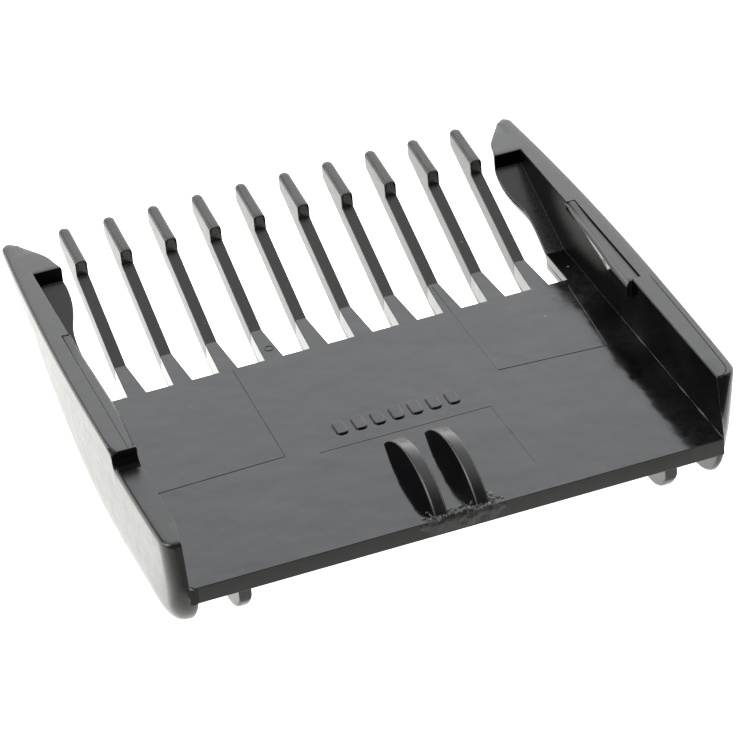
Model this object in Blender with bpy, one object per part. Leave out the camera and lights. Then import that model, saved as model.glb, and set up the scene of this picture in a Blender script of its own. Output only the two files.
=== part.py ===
"""Clipper guard comb: a clip-on spacer comb for a hair clipper's blade.

Axes: +X across the comb, +Y from the open rear edge to the tine tips, +Z up, away from the skin.
The origin is under the middle of the comb's bounding box, at the level of the runners.
Every shape is drawn from one datum, the middle of the plate's rear top edge, and then hung on an
empty that carries this datum.
"""

import math

import bmesh
import bpy
from mathutils import Matrix, Vector

MM = 0.001

# Driving dimensions
OVERALL_LENGTH = 46.9 * MM
OVERALL_WIDTH = 48.8 * MM
RUNNER_DEPTH = 5.25 * MM       # plate top down to the lowest line of the runners
SPLIT_GAP = 0.02 * MM          # parting between neighbouring sub-parts of the one moulding

# Plate
INNER_WIDTH = 44.4 * MM        # between the side walls, where the clipper's blade lies
PLATE_LENGTH = 27.4 * MM       # rear edge to the slot ends
PLATE_THICKNESS = 1.5 * MM

# Tines
TINE_COUNT = 10
TINE_PITCH = 4.0 * MM
TINE_WIDTH = 1.04 * MM
ROOT_WIDTH = 1.65 * MM
CREASE_Y = 32.0 * MM           # where a tine leaves the plate's plane
STOP_Y = 41.1 * MM             # the blade's teeth end against this face
STOP_FOOT_Z = 3.9 * MM
STOP_TOP_Z = 5.25 * MM
NOSE_Y = 46.3 * MM
NOSE_TOP_Z = 5.8 * MM
LONG_RUNNER_REAR_Y = 0.7 * MM
SHORT_RUNNER_REAR_Y = 7.0 * MM
RUNNER_HEEL_RADIUS = 3.7 * MM

# Runner curve: level, then an arc, then a straight rise to the nose
RUNNER_ARC_RADIUS = 51.5 * MM
RUNNER_RISE_SLOPE = 0.45
RUNNER_RISE_Y = 35.0 * MM

# Side walls
WALL_TOP_Z = 5.25 * MM
WALL_FOOT_INSET = 1.0 * MM     # the wall's foot reaches this far in under the plate
WALL_REAR_Y = 0.05 * MM
WALL_REAR_LEAN = 1.1 * MM      # the rear end leans forward by this much at the rail
WALL_LEAN_REACH = 4.0 * MM
WALL_CORNER_WIDTH = 0.9 * MM   # width of the rear corner's rounding at the rail
CORNER_GROWTH = 0.2            # the rounding widens by this much per unit of depth
CORNER_STRETCH = 2.0           # and is this many times longer than wide
WALL_HEEL_RADIUS = 5.0 * MM
WALL_NOSE_RADIUS = 0.7 * MM
HULL_DRAFT = 0.25 * MM         # the outer face closes in evenly by this much towards the bottom
BILGE_WIDTH = 1.5 * MM         # then it rounds under, over this width
BILGE_HEIGHT = 2.2 * MM        # and this height
BILGE_GROWTH = 0.1             # the rounding grows towards the nose
BILGE_GROWTH_Y = 20.0 * MM
WIDEST_Y = 21.0 * MM           # the outer faces close in from here, in plan
FRONT_TAPER = 1.4              # metres of closing in per square metre ahead
REAR_TAPER = 0.7               # the same, per square metre behind
LEFT_CUTAWAY_Y = 12.5 * MM     # the left wall is lower behind this, for the clipper's lever
CUTAWAY_Z = 3.9 * MM

# Guide lips, set in the rails' inner edge
LIP_INNER_X = 21.72 * MM       # where a lip reaches furthest in over the blade
LIP_CREST_Y = 20.0 * MM
LIP_HEIGHT = 1.0 * MM
LIP_DROP = 0.2 * MM
LIP_FRONT_Y = 30.6 * MM
LIP_OUTER_X = 22.8 * MM
RIGHT_LIP_REAR_Y = 17.4 * MM
LEFT_LIP_REAR_Y = 12.9 * MM

# Edge tines: the half tines along the walls, with the corner lugs as their tips
EDGE_SLOT_X = 20.5 * MM
LUG_INNER_X = 19.65 * MM
EDGE_FLANK = 0.4 * MM          # upright part of the slot side, above the undercut
EDGE_UNDERCUT = 0.9 * MM

# Latch fins at the rear
FIN_WIDTH = 1.15 * MM
FIN_CENTRE_X = 1.75 * MM
FIN_CENTRE_Y = 6.0 * MM
FIN_HEIGHT = 2.45 * MM
FIN_LENGTH = 11.2 * MM

# Trimmed gate on the rear edge
GATE_WIDTH = 6.6 * MM
GATE_HEIGHT = 0.9 * MM
GATE_THICKNESS = 0.25 * MM

BLACK_ABS = (0.018, 0.018, 0.019, 1.0)
ABS_ROUGHNESS = 0.22
ARC_STEPS = 10

PLANE_TURNS = {
    "XY": Matrix.Identity(4),
    "YZ": Matrix(((0, 0, 1, 0), (1, 0, 0, 0), (0, 1, 0, 0), (0, 0, 0, 1))),
    "XZ": Matrix(((1, 0, 0, 0), (0, 0, -1, 0), (0, 1, 0, 0), (0, 0, 0, 1))),
}


def clear_scene():
    for old in list(bpy.data.objects):
        bpy.data.objects.remove(old)


def new_collection(name):
    collection = bpy.data.collections.new(name)
    bpy.context.scene.collection.children.link(collection)
    return collection


def black_abs(name):
    material = bpy.data.materials.new(name)
    material.use_nodes = True
    shader = material.node_tree.nodes["Principled BSDF"]
    shader.inputs["Base Color"].default_value = BLACK_ABS
    shader.inputs["Roughness"].default_value = ABS_ROUGHNESS
    shader.inputs["Metallic"].default_value = 0.0
    material.diffuse_color = BLACK_ABS
    return material


def outline_solid(name, outline, plane, start, end, collection):
    """A flat outline in one of the main planes, made solid from start to end across the plane."""
    curve = bpy.data.curves.new(name, "CURVE")
    curve.dimensions = "2D"
    curve.fill_mode = "BOTH"
    curve.extrude = (end - start) / 2
    spline = curve.splines.new("POLY")
    spline.points.add(len(outline) - 1)
    for point, (u, v) in zip(spline.points, outline):
        point.co = (u, v, 0, 1)
    spline.use_cyclic_u = True
    drawn = bpy.data.objects.new(name, curve)
    middle = (start + end) / 2
    along = -middle if plane == "XZ" else middle
    collection.objects.link(drawn)
    drawn.matrix_world = PLANE_TURNS[plane] @ Matrix.Translation((0, 0, along))
    bpy.context.view_layer.update()
    mesh = bpy.data.meshes.new_from_object(drawn.evaluated_get(bpy.context.evaluated_depsgraph_get()))
    mesh.transform(drawn.matrix_world)
    bpy.data.objects.remove(drawn)
    weld_outward(mesh)
    solid = bpy.data.objects.new(name, mesh)
    collection.objects.link(solid)
    return solid


def weld_outward(mesh):
    work = bmesh.new()
    work.from_mesh(mesh)
    bmesh.ops.remove_doubles(work, verts=work.verts, dist=MM / 1000)
    bmesh.ops.recalc_face_normals(work, faces=work.faces)
    work.to_mesh(mesh)
    work.free()


def boolean(target, cutter, operation):
    modifier = target.modifiers.new(cutter.name, "BOOLEAN")
    modifier.operation = operation
    modifier.object = cutter
    modifier.solver = "EXACT"


def cutter_solid(name, outline, plane, start, end):
    cutter = outline_solid(name, outline, plane, start, end, cutters)
    cutter.hide_render = True
    cutter.display_type = "WIRE"
    cutter.parent = datum
    return cutter


def part_solid(name, outline, plane, start, end):
    part = outline_solid(name, outline, plane, start, end, comb)
    part.data.materials.append(black_abs(name + "_abs"))
    part.parent = datum
    return part


def arc(centre, radius, first, last, steps=ARC_STEPS):
    """Points on a circle between two angles in degrees."""
    points = []
    for step in range(steps + 1):
        angle = math.radians(first + (last - first) * step / steps)
        points.append((centre[0] + radius * math.cos(angle), centre[1] + radius * math.sin(angle)))
    return points


def mirrored(outline, side):
    """The outline as drawn for the right side, or its mirror image for the left."""
    return [(side * u, v) for u, v in outline]


def runner_z(y):
    """Height of the runner line: the edge that glides on the skin."""
    rise_angle = math.atan(RUNNER_RISE_SLOPE)
    arc_start = RUNNER_RISE_Y - RUNNER_ARC_RADIUS * math.sin(rise_angle)
    if y <= arc_start:
        return -RUNNER_DEPTH
    ahead = min(y, RUNNER_RISE_Y) - arc_start
    arc_rise = RUNNER_ARC_RADIUS - math.sqrt(RUNNER_ARC_RADIUS**2 - ahead**2)
    return -RUNNER_DEPTH + arc_rise + RUNNER_RISE_SLOPE * max(0.0, y - RUNNER_RISE_Y)


def runner_line(rear, front, steps=16):
    """The runner line from rear to front, with no point inside its level stretch."""
    rise_angle = math.atan(RUNNER_RISE_SLOPE)
    arc_start = RUNNER_RISE_Y - RUNNER_ARC_RADIUS * math.sin(rise_angle)
    places = [rear]
    for step in range(steps + 1):
        places.append(arc_start + (RUNNER_RISE_Y - arc_start) * step / steps)
    places.append(front)
    return [(y, runner_z(y)) for y in places]


def runner_heel(rear, top):
    """The rounded rear end of a runner, from its top edge down to the level stretch."""
    centre = (rear + RUNNER_HEEL_RADIUS, -RUNNER_DEPTH + RUNNER_HEEL_RADIUS)
    heel = arc(centre, RUNNER_HEEL_RADIUS, 180, 270)
    return [(y, z) for y, z in heel if z < top]


def tine_x(number):
    return (number - (TINE_COUNT + 1) / 2) * TINE_PITCH


def plate_outline():
    """Seen from above: the plate with its ten root fingers and the two edge fingers."""
    half = INNER_WIDTH / 2
    front = CREASE_Y - SPLIT_GAP
    outline = [(-half, 0), (half, 0), (half, front), (EDGE_SLOT_X, front), (EDGE_SLOT_X, PLATE_LENGTH)]
    for number in range(TINE_COUNT, 0, -1):
        x = tine_x(number)
        outline.append((x + ROOT_WIDTH / 2, PLATE_LENGTH))
        outline.append((x + TINE_WIDTH / 2, front))
        outline.append((x - TINE_WIDTH / 2, front))
        outline.append((x - ROOT_WIDTH / 2, PLATE_LENGTH))
    outline += [(-EDGE_SLOT_X, PLATE_LENGTH), (-EDGE_SLOT_X, front), (-half, front)]
    return outline


def base_plate():
    return part_solid("base_plate", plate_outline(), "XY", -PLATE_THICKNESS, 0)


def tooth_top():
    """The upper edge of a tine in front of the crease, from the crease to the nose."""
    return [
        (CREASE_Y, 0),
        (STOP_Y, STOP_FOOT_Z),
        (STOP_Y, STOP_TOP_Z),
    ]


def tine(number):
    """One tine: a full runner under the plate, rising to the tooth and its stop block."""
    outer = number in (1, TINE_COUNT)
    rear = LONG_RUNNER_REAR_Y if outer else SHORT_RUNNER_REAR_Y
    underside = -PLATE_THICKNESS - SPLIT_GAP
    nose_radius = 0.6 * MM
    nose = arc((NOSE_Y - nose_radius, NOSE_TOP_Z - nose_radius), nose_radius, 90, 0, 4)
    chin = NOSE_Y - 0.25 * MM
    outline = tooth_top() + nose + runner_line(rear, chin)[:0:-1]
    outline += runner_heel(rear, underside)[::-1]
    outline += [(runner_heel(rear, underside)[0][0], underside), (CREASE_Y, underside)]
    x = tine_x(number)
    return part_solid(f"tine_{number:02d}", outline, "YZ", x - TINE_WIDTH / 2, x + TINE_WIDTH / 2)


def slot_side():
    """The edge tine's slot side in plan, right half, from the crease to the nose, as (y, x)."""
    return [
        (CREASE_Y, EDGE_SLOT_X),
        (STOP_Y - 5.0 * MM, EDGE_SLOT_X),
        (STOP_Y - 3.4 * MM, LUG_INNER_X + 0.5 * MM),
        (STOP_Y - 1.8 * MM, LUG_INNER_X + 0.1 * MM),
        (STOP_Y, LUG_INNER_X),
        (STOP_Y, LUG_INNER_X),
        (STOP_Y + 1.0 * MM, LUG_INNER_X + 0.2 * MM),
        (STOP_Y + 2.2 * MM, LUG_INNER_X + 0.7 * MM),
        (STOP_Y + 3.6 * MM, LUG_INNER_X + 1.45 * MM),
        (STOP_Y + 4.8 * MM, LUG_INNER_X + 2.2 * MM),
    ]


def edge_tine(name, side):
    """The half tine that runs along a wall and ends in the flat-topped corner lug."""
    face = INNER_WIDTH / 2
    sections = []
    for place, (y, slot_x) in enumerate(slot_side()):
        on_lug = place >= 5
        top = WALL_TOP_Z if on_lug else STOP_FOOT_Z * (y - CREASE_Y) / (STOP_Y - CREASE_Y)
        bottom = min(runner_z(y), top - 0.8 * MM)
        flank = top - (STOP_TOP_Z - STOP_FOOT_Z if on_lug else 0.0) - EDGE_FLANK
        foot_x = min(slot_x + EDGE_UNDERCUT, face - 0.2 * MM)
        section = [(face, top), (slot_x, top), (slot_x, flank), (foot_x, bottom), (face, bottom)]
        sections.append([(side * x, y, z) for x, z in section])
    return loft(name, sections)


def wall_outer_x(y):
    """Half width of the comb at a distance from the rear."""
    taper = FRONT_TAPER if y > WIDEST_Y else REAR_TAPER
    return OVERALL_WIDTH / 2 - taper * (y - WIDEST_Y) ** 2


def rounded_end(distance, radius):
    """How far a quarter-round corner still stands back, at a distance from the end it closes."""
    short = max(0.0, radius - max(0.0, distance))
    return radius - math.sqrt(radius**2 - short**2)


def wall_bottom_z(y):
    """The wall's lower edge: the runner line, rounded up at the rear to just under the plate."""
    heel = runner_z(y) + rounded_end(y - WALL_REAR_Y, WALL_HEEL_RADIUS)
    return min(heel, -PLATE_THICKNESS - 3 * SPLIT_GAP) if y < CREASE_Y else heel


def wall_stations(cutaway_y):
    """Where the wall's cross-section is drawn: (y, whether it is under the plate, its top)."""
    rear = [WALL_REAR_Y + 5 * MM * (1 - math.cos(math.radians(a))) for a in range(0, 91, 10)]
    crease = CREASE_Y - SPLIT_GAP
    under = rear + [rear[-1] + (crease - rear[-1]) * step / 16 for step in range(1, 17)]
    front_start = OVERALL_LENGTH - WALL_NOSE_RADIUS
    ahead = [CREASE_Y + (front_start - CREASE_Y) * step / 8 for step in range(9)]
    nose = [front_start + WALL_NOSE_RADIUS * math.sin(math.radians(a)) for a in (20, 40, 60, 80)]
    low = [(y, True, CUTAWAY_Z) for y in under if y < cutaway_y]
    step_face = [(cutaway_y, True, CUTAWAY_Z), (cutaway_y, True, WALL_TOP_Z)] if low else []
    high = [(y, True, WALL_TOP_Z) for y in under if y > cutaway_y]
    return low + step_face + high + [(y, False, WALL_TOP_Z) for y in ahead + nose]


def bilge_inset(y, z):
    """How far the outer face has closed in at a height, draft and rounding together."""
    bottom = wall_bottom_z(y)
    reach = BILGE_HEIGHT + BILGE_GROWTH * max(0.0, y - BILGE_GROWTH_Y)
    reach = min(reach, 0.7 * (WALL_TOP_Z - bottom))
    width = BILGE_WIDTH * min(1.0, (WALL_TOP_Z - bottom) / WALL_TOP_Z)
    short = max(0.0, 1 - (z - bottom) / reach)
    draft = HULL_DRAFT * (WALL_TOP_Z - z) / (WALL_TOP_Z + RUNNER_DEPTH)
    return draft + width * (1 - math.sqrt(1 - short**2))


def wall_section(y, under_plate, top):
    """The right wall's cross-section at y, anticlockwise seen from the rear, as (x, z) pairs."""
    bottom = wall_bottom_z(y)
    face = INNER_WIDTH / 2 + SPLIT_GAP
    foot = face - (WALL_FOOT_INSET if under_plate else 0.0)
    shelf = -PLATE_THICKNESS - SPLIT_GAP if under_plate else (bottom + WALL_TOP_Z) / 2
    foot_round = min(0.35 * MM, (shelf - bottom) / 3)
    seam = max(CUTAWAY_Z, (bottom + WALL_TOP_Z) / 2)
    section = [(face, top), (face, seam), (face, shelf), (foot, shelf)]
    section += [(foot, bottom + 2 * foot_round), (foot + foot_round, bottom)]
    steps = 11
    heights = [bottom + (step / steps) ** 1.7 * (seam - bottom) for step in range(steps + 1)]
    for z in heights + [top]:
        corner = WALL_CORNER_WIDTH + CORNER_GROWTH * (WALL_TOP_Z - z)
        outer = wall_outer_x(y) - bilge_inset(y, z)
        outer -= rounded_end((y - WALL_REAR_Y) / CORNER_STRETCH, corner)
        outer -= rounded_end(OVERALL_LENGTH - y, WALL_NOSE_RADIUS)
        section.append((max(outer, face + SPLIT_GAP), z))
    return section


def loft(name, sections):
    """A closed solid through cross-sections that all have the same number of points."""
    work = bmesh.new()
    rings = [[work.verts.new(point) for point in section] for section in sections]
    count = len(rings[0])
    for ring, following in zip(rings, rings[1:]):
        for k in range(count):
            after = (k + 1) % count
            work.faces.new((ring[k], ring[after], following[after], following[k]))
    work.faces.new(rings[0])
    work.faces.new(rings[-1])
    bmesh.ops.remove_doubles(work, verts=work.verts, dist=MM / 1000)
    bmesh.ops.recalc_face_normals(work, faces=work.faces)
    mesh = bpy.data.meshes.new(name)
    work.to_mesh(mesh)
    work.free()
    part = bpy.data.objects.new(name, mesh)
    comb.objects.link(part)
    part.data.materials.append(black_abs(name + "_abs"))
    part.parent = datum
    return part


def side_wall(name, side, lip_rear, cutaway_y):
    """A wall lofted from rear to nose, lower behind its cutaway, with the lip's seat in its rail."""
    sections = []
    for y, under_plate, top in wall_stations(cutaway_y):
        fade = max(0.0, 1 - (y - WALL_REAR_Y) / WALL_LEAN_REACH)
        lean = fade * WALL_REAR_LEAN / WALL_TOP_Z
        section = wall_section(y, under_plate, top)
        sections.append([(side * x, y + lean * max(0.0, z), z) for x, z in section])
    wall = loft(name, sections)
    seat_floor = WALL_TOP_Z - LIP_DROP - LIP_HEIGHT - SPLIT_GAP
    seat_outline = mirrored(lip_seat_outline(lip_rear), side)
    seat = cutter_solid(name + "_lip_seat", seat_outline, "XY", seat_floor, 2 * WALL_TOP_Z)
    boolean(wall, seat, "DIFFERENCE")


def lip_seat_outline(rear):
    """The pocket a lip sits in, right side, open towards the blade."""
    outer = LIP_OUTER_X + SPLIT_GAP
    open_side = LIP_INNER_X - 1 * MM
    front = LIP_FRONT_Y + SPLIT_GAP
    return [(open_side, rear - SPLIT_GAP), (outer, rear - SPLIT_GAP), (outer, front), (open_side, front)]


def guide_lip(name, side, rear):
    """A lip along the rail: flush with the wall in front, widest at its crest, over the blade."""
    top = WALL_TOP_Z - LIP_DROP
    face = INNER_WIDTH / 2
    past_crest = max(0.0, LIP_CREST_Y - rear) / (LIP_CREST_Y - LEFT_LIP_REAR_Y)
    rear_x = LIP_INNER_X + (face - LIP_INNER_X) * past_crest**3
    plan = [(LIP_OUTER_X, rear), (LIP_OUTER_X, LIP_FRONT_Y), (face, LIP_FRONT_Y)]
    plan += [(LIP_INNER_X, LIP_CREST_Y), (rear_x, rear)]
    return part_solid(name, mirrored(plan, side), "XY", top - LIP_HEIGHT, top)


def latch_fin(name, side):
    """A low arched fin on the plate: a segment of a round plate standing on its chord."""
    half_chord = FIN_LENGTH / 2
    radius = (half_chord**2 + FIN_HEIGHT**2) / (2 * FIN_HEIGHT)
    centre = (FIN_CENTRE_Y, FIN_HEIGHT - radius)
    reach = math.degrees(math.asin(half_chord / radius))
    outline = arc(centre, radius, 90 - reach, 90 + reach, 2 * ARC_STEPS)
    raised = [(y, z + SPLIT_GAP) for y, z in outline]
    x = side * FIN_CENTRE_X
    return part_solid(name, raised, "YZ", x - FIN_WIDTH / 2, x + FIN_WIDTH / 2)


def gate_stub():
    """What is left of the moulding gate, trimmed off by hand at the middle of the rear edge."""
    top = -0.2 * MM
    half = GATE_WIDTH / 2
    outline = [
        (-half, top),
        (half, top),
        (half - 0.5 * MM, top - GATE_HEIGHT),
        (-half + 0.8 * MM, top - GATE_HEIGHT),
    ]
    return part_solid("gate_stub", outline, "XZ", -GATE_THICKNESS - SPLIT_GAP, -SPLIT_GAP)


clear_scene()
comb = new_collection("clipper_guard_comb")
cutters = new_collection("cutters")
datum = bpy.data.objects.new("plate_datum", None)
datum.location = Vector((0, -(OVERALL_LENGTH - GATE_THICKNESS - SPLIT_GAP) / 2, RUNNER_DEPTH))
datum.empty_display_size = 5 * MM
comb.objects.link(datum)

base_plate()
for tine_number in range(1, TINE_COUNT + 1):
    tine(tine_number)
edge_tine("left_edge_tine", -1)
edge_tine("right_edge_tine", 1)
side_wall("left_side_wall", -1, LEFT_LIP_REAR_Y, LEFT_CUTAWAY_Y)
side_wall("right_side_wall", 1, RIGHT_LIP_REAR_Y, 0.0)
guide_lip("left_guide_lip", -1, LEFT_LIP_REAR_Y)
guide_lip("right_guide_lip", 1, RIGHT_LIP_REAR_Y)
latch_fin("left_latch_fin", -1)
latch_fin("right_latch_fin", 1)
gate_stub()
bpy.context.view_layer.update()
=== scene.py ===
import math

import bmesh
import bpy
from mathutils import Matrix, Vector, noise


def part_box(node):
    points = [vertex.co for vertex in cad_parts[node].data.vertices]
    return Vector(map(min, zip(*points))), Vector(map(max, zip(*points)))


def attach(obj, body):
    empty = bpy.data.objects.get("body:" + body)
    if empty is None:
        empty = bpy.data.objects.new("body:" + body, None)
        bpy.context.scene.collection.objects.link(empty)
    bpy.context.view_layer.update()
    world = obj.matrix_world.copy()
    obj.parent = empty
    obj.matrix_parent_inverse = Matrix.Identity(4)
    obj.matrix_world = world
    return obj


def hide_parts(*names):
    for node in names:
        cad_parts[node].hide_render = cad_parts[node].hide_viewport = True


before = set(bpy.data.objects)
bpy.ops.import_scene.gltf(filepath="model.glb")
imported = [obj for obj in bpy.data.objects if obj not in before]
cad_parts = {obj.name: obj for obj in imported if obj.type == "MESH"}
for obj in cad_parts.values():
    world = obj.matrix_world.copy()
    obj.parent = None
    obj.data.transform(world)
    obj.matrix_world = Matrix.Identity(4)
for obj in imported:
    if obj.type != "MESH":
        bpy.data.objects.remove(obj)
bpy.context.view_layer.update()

# Every shape is drawn in millimetres from the middle of the plate's rear top edge:
# x across the comb, y towards the tine tips, z up. A side is -1 for left and 1 for right.
MM = 0.001
PLATE_LOW, PLATE_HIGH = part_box("base_plate")
DATUM = Vector((0.0, PLATE_LOW.y, PLATE_HIGH.z))

INNER_X = 22.2            # inner face of a wall
HALF_WIDTH = 24.4         # outer face of a wall where it is widest
LENGTH = 46.9             # from the rear edge to the tips of the walls' noses
REAR_Y = 0.05             # rear ends of the walls
PLATE_THICKNESS = 1.5
SLOT_Y = 27.46            # closed ends of the slots
CREASE_Y = 32.0           # where the tines leave the plate's plane
STOP_Y = 41.1             # upright faces that stop the blade
STOP_FOOT_Z = 3.9         # where the tines' incline meets those faces
RAIL_Z = 5.25             # tops of the walls and of the stop blocks
NOSE_Y = 46.3             # tips of the tines
RUNNER_Z = -5.25          # the runners' level stretch
RUNNER_RADIUS = 51.5      # their sweep upwards
RISE_SLOPE = 0.45         # their straight rise ahead of RISE_Y
RISE_Y = 35.0
TINE_COUNT = 10
PITCH = 4.0
TINE_HALF = 0.52          # half width of a tine
ROOT_HALF = 0.825         # half width of its root, at the slots' closed ends
EDGE_X = 20.5             # slot side of an edge tine's root
CUTAWAY_Y = 12.7          # behind this the left wall drops to CUTAWAY_Z
CUTAWAY_Z = 3.92
LIP_Z = 5.05              # top of a guide lip, a little under the rail
LIP_STEP_X = {-1: 22.88, 1: 23.02}   # where the rail steps down to its lip
LIP_FRONT_Y = {-1: 30.8, 1: 31.1}
LIP_REAR_Y = {-1: 12.9, 1: 17.4}
SIDE_NAMES = {-1: "left", 1: "right"}


# ---------------------------------------------------------------- curves and sections

def tine_x(number):
    """Middle of a tine. Tine 1 is the leftmost."""
    return (number - (TINE_COUNT + 1) / 2) * PITCH


def runner_z(y):
    """Height of the edge that glides on the skin."""
    angle = math.atan(RISE_SLOPE)
    start = RISE_Y - RUNNER_RADIUS * math.sin(angle)
    if y <= start:
        return RUNNER_Z
    ahead = min(y, RISE_Y) - start
    rise = RUNNER_RADIUS - math.sqrt(RUNNER_RADIUS**2 - ahead**2)
    return RUNNER_Z + rise + RISE_SLOPE * max(0.0, y - RISE_Y)


def incline_z(y):
    """Height of the tines' upper face between the crease and the stop."""
    return STOP_FOOT_Z * (y - CREASE_Y) / (STOP_Y - CREASE_Y)


def corner_inset(distance, radius):
    """How far a quarter-round corner still stands back, at a distance from the end it closes."""
    short = min(radius, max(0.0, radius - max(0.0, distance)))
    return radius - math.sqrt(radius**2 - short**2)


def smooth_path(points, value):
    """A smooth curve through (value, height) points, read at a value."""
    last = len(points) - 1
    if value <= points[0][0]:
        return points[0][1]
    if value >= points[last][0]:
        return points[last][1]
    k = max(i for i in range(last) if points[i][0] <= value)
    (x0, y0), (x1, y1) = points[k], points[k + 1]

    def slope(i):
        before, after = points[max(i - 1, 0)], points[min(i + 1, last)]
        return (after[1] - before[1]) / (after[0] - before[0])

    t, span = (value - x0) / (x1 - x0), x1 - x0
    rise = (2 * t**3 - 3 * t**2 + 1) * y0 + (3 * t**2 - 2 * t**3) * y1
    return rise + (t**3 - 2 * t**2 + t) * span * slope(k) + (t**3 - t**2) * span * slope(k + 1)


def arc(cx, cz, radius, first, last, steps):
    """Points on a circle, from one angle to another in degrees."""
    turn = [math.radians(first + (last - first) * k / steps) for k in range(steps + 1)]
    return [(cx + radius * math.cos(a), cz + radius * math.sin(a)) for a in turn]


def spread(first, last, steps):
    """Evenly spaced values, both ends included."""
    return [first + (last - first) * k / steps for k in range(steps + 1)]


# ---------------------------------------------------------------- mesh building

MERGE_DISTANCE = 0.0008   # points closer than this become one
THIN_EDGE = 0.0005        # edges shorter than this go
SHARP_ANGLE = math.radians(38)
CUT_SHARP_ANGLE = math.radians(30)


def to_object(name, work, materials, nodes=(), finish=None):
    """Finishes a bmesh drawn in datum millimetres as a piece that rides with the comb.

    finish gives each face's place in the list of materials, from its middle and its normal."""
    bmesh.ops.remove_doubles(work, verts=work.verts, dist=MERGE_DISTANCE)
    bmesh.ops.dissolve_degenerate(work, edges=work.edges, dist=THIN_EDGE)
    bmesh.ops.recalc_face_normals(work, faces=work.faces)
    if finish:
        for face in work.faces:
            face.material_index = finish(face.calc_center_median(), face.normal)
    return dress(name, placed_mesh(name, work), materials, nodes)


def placed_mesh(name, work):
    """The mesh of a bmesh drawn in datum millimetres, in metres in the frame."""
    for vert in work.verts:
        vert.co = DATUM + vert.co * MM
    mesh = bpy.data.meshes.new(name)
    work.to_mesh(mesh)
    work.free()
    return mesh


def dress(name, mesh, materials, nodes):
    """Makes a mesh a shaded piece on the comb's one body, in place of the CAD nodes named."""
    for polygon in mesh.polygons:
        polygon.use_smooth = True
    mesh.set_sharp_from_angle(angle=SHARP_ANGLE)
    piece = bpy.data.objects.new(name, mesh)
    bpy.context.scene.collection.objects.link(piece)
    for material in materials:
        mesh.materials.append(material)
    weighted = piece.modifiers.new("weighted_normals", "WEIGHTED_NORMAL")
    weighted.keep_sharp = True
    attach(piece, "root")
    if nodes:
        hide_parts(*nodes)
    return piece


def loft(name, rings, materials, nodes=(), finish=None):
    """A closed skin through rings of as many (x, y, z) points each, capped at both ends."""
    work = bmesh.new()
    rows = [[work.verts.new(point) for point in ring] for ring in rings]
    count = len(rows[0])
    for row, after in zip(rows, rows[1:]):
        for k in range(count):
            n = (k + 1) % count
            work.faces.new((row[k], row[n], after[n], after[k]))
    work.faces.new(rows[0])
    work.faces.new(rows[-1])
    return to_object(name, work, materials, nodes, finish)


def bar_section(cx, half, top, bottom, top_round, foot_round):
    """A bar's cross-section with rounded corners, anticlockwise, as (x, z)."""
    steps = 4
    roundest = min(half * 0.98, (top - bottom) * 0.45)
    rt, rb = min(top_round, roundest), min(foot_round, roundest)
    section = arc(cx - half + rb, bottom + rb, rb, 180, 270, steps)
    section += arc(cx + half - rb, bottom + rb, rb, 270, 360, steps)
    section += arc(cx + half - rt, top - rt, rt, 0, 90, steps)
    section += arc(cx - half + rt, top - rt, rt, 90, 180, steps)
    return section


def prism(outline, low, high, bevel):
    """A bmesh slab over an outline in plan, with its edges rounded."""
    work = bmesh.new()
    base = work.faces.new([work.verts.new((x, y, low)) for x, y in outline])
    raised = bmesh.ops.extrude_face_region(work, geom=[base])
    for item in raised["geom"]:
        if isinstance(item, bmesh.types.BMVert):
            item.co.z = high
    bmesh.ops.recalc_face_normals(work, faces=work.faces)
    bmesh.ops.bevel(
        work, geom=list(work.edges), offset=bevel, segments=3, profile=0.5, affect="EDGES"
    )
    return work


def cut(piece, cutter_mesh):
    """Takes a cutter mesh out of a piece for good, and drops the cutter."""
    cutter = bpy.data.objects.new("cutter", cutter_mesh)
    bpy.context.scene.collection.objects.link(cutter)
    modifier = piece.modifiers.new("cut", "BOOLEAN")
    modifier.operation, modifier.object, modifier.solver = "DIFFERENCE", cutter, "EXACT"
    modifier.use_self = True
    piece.modifiers.move(len(piece.modifiers) - 1, 0)
    bpy.context.view_layer.update()
    graph = bpy.context.evaluated_depsgraph_get()
    piece.modifiers["weighted_normals"].show_viewport = False
    bpy.context.view_layer.update()
    mesh = bpy.data.meshes.new_from_object(piece.evaluated_get(graph))
    piece.modifiers["weighted_normals"].show_viewport = True
    piece.modifiers.remove(modifier)
    bpy.data.objects.remove(cutter)
    mesh.set_sharp_from_angle(angle=CUT_SHARP_ANGLE)
    piece.data = mesh


# ---------------------------------------------------------------- materials

def add(tree, kind, inputs=None, **settings):
    """A shader node. Its inputs are given as values or as other nodes' outputs."""
    node = tree.nodes.new("ShaderNode" + kind)
    for key, value in settings.items():
        setattr(node, key, value)
    for key, value in (inputs or {}).items():
        if isinstance(value, bpy.types.NodeSocket):
            tree.links.new(value, node.inputs[key])
        else:
            node.inputs[key].default_value = value
    return node


def noise_value(tree, where, per_mm, detail=2.0, rough=0.5):
    """Noise from 0 to 1, with about per_mm swings in a millimetre."""
    inputs = {"Vector": where, "Scale": per_mm, "Detail": detail, "Roughness": rough}
    return add(tree, "TexNoise", inputs).outputs["Fac"]


def remap(tree, value, low, high, to_low, to_high):
    """value from the range low to high, moved to the range to_low to to_high and held there."""
    inputs = {"Value": value, "From Min": low, "From Max": high}
    inputs.update({"To Min": to_low, "To Max": to_high})
    return add(tree, "MapRange", inputs, clamp=True).outputs["Result"]


def math_node(tree, operation, a, b=0.0):
    return add(tree, "Math", {0: a, 1: b}, operation=operation).outputs[0]


def mix_colour(tree, factor, first, second):
    return add(tree, "Mix", {"Factor": factor, 6: first, 7: second}, data_type="RGBA").outputs[2]


def bump(tree, strength, height_mm, height, normal=None):
    inputs = {"Strength": strength, "Distance": height_mm * MM, "Height": height}
    if normal is not None:
        inputs["Normal"] = normal
    return add(tree, "Bump", inputs).outputs[0]


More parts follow.
